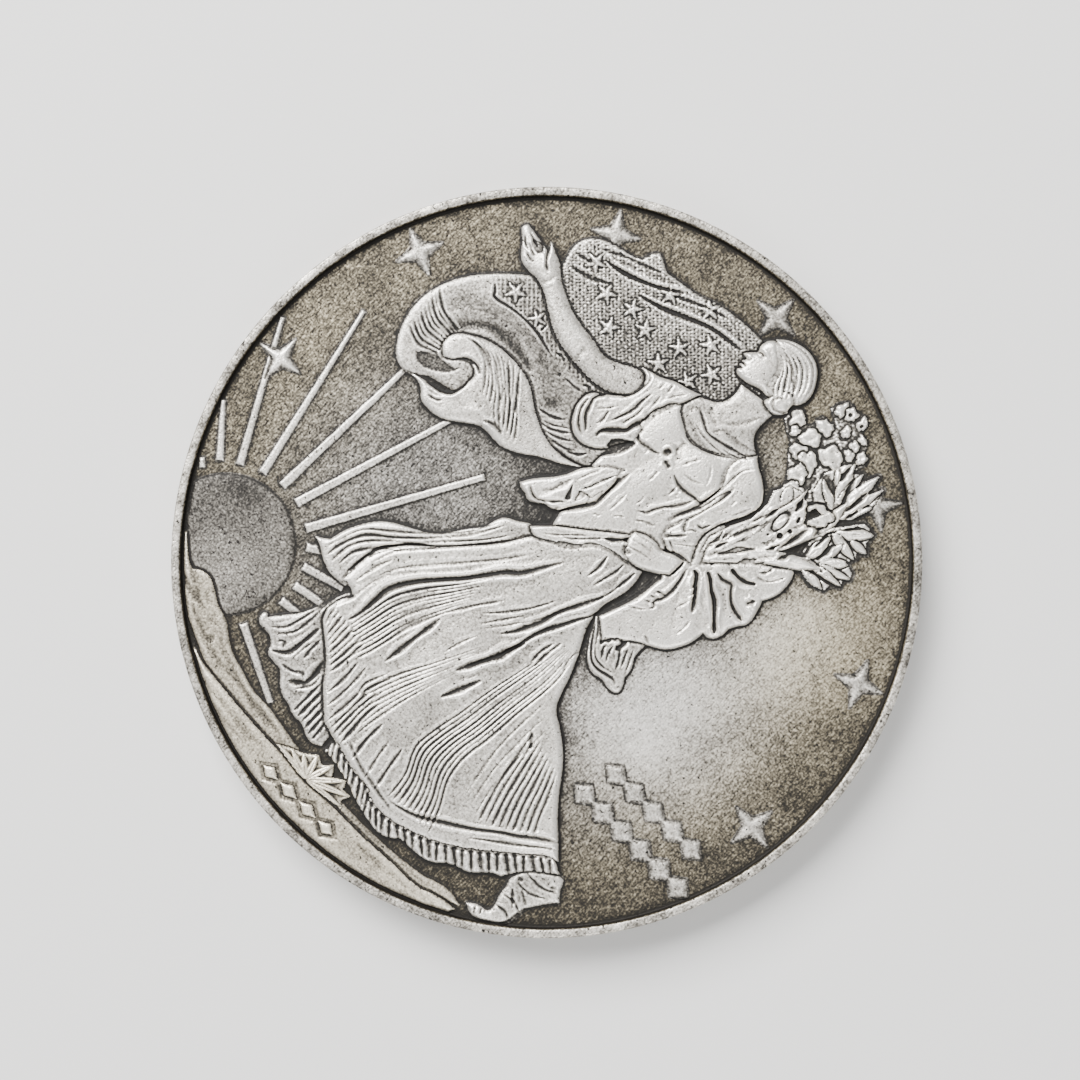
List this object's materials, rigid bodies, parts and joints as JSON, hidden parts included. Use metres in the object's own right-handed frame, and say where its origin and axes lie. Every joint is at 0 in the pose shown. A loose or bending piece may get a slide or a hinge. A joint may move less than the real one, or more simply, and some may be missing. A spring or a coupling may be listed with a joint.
{
  "type": "struck challenge coin",
  "caption": "Round struck medal coin with raised rims, a robed walking figure, rising sun and branch in relief on the front, and a plain wreath and star on the back.",
  "frame": {"origin": "middle of the coin's back rim, which is its lowest face when it lies with its front up", "axes": "+Z is the outward normal of the front; +Y points to the top of the front's design; +X is to the right of the design"},
  "size_m": [0.0406, 0.0406, 0.003],
  "materials": {
    "struck_blank": "silver plated, antiqued: sunk field toned olive grey with brown-black oxide in the corners, rim rubbed bright",
    "high_relief": "silver plated, antiqued: high points rubbed to a bright satin silver, black oxide in the folds",
    "low_relief": "silver plated, antiqued: mottled satin grey with fine dark specks"
  },
  "bodies": {
    "root": {"back_star": "high_relief", "blossoms": "high_relief", "bodice": "high_relief", "border_star_1": "high_relief", "border_star_2": "high_relief", "border_star_3": "high_relief", "border_star_4": "high_relief", "border_star_5": "high_relief", "border_star_6": "high_relief", "border_star_7": "high_relief", "branch_stems": "high_relief", "cape_band": "high_relief", "cape_curl": "high_relief", "coin_blank": "struck_blank", "drape_right": "high_relief", "drape_tail": "high_relief", "far_hill": "low_relief", "flag_back": "low_relief", "ground_mound": "low_relief", "ground_plant": "low_relief", "hair_cap": "high_relief", "hand_right": "high_relief", "head": "high_relief", "hip_drape": "high_relief", "leaves_left": "high_relief", "leaves_right": "high_relief", "leaves_top": "high_relief", "lozenge_row_date": "low_relief", "lozenge_row_lower": "high_relief", "lozenge_row_upper": "high_relief", "neck": "high_relief", "petticoat_hem": "high_relief", "raised_arm": "high_relief", "ray_01": "high_relief", "ray_02": "high_relief", "ray_03": "high_relief", "ray_04": "high_relief", "ray_05": "high_relief", "ray_06": "high_relief", "ray_07": "high_relief", "ray_08": "high_relief", "ray_09": "high_relief", "ray_10": "high_relief", "ray_11": "high_relief", "ray_12": "high_relief", "sandal_foot": "high_relief", "sash": "high_relief", "skirt_main": "high_relief", "sleeve_left": "high_relief", "sleeve_right": "high_relief", "sun_disc": "low_relief", "train_lower": "high_relief", "train_upper": "high_relief", "wreath_spray_left": "high_relief", "wreath_spray_right": "high_relief"}
  },
  "joints": []
}
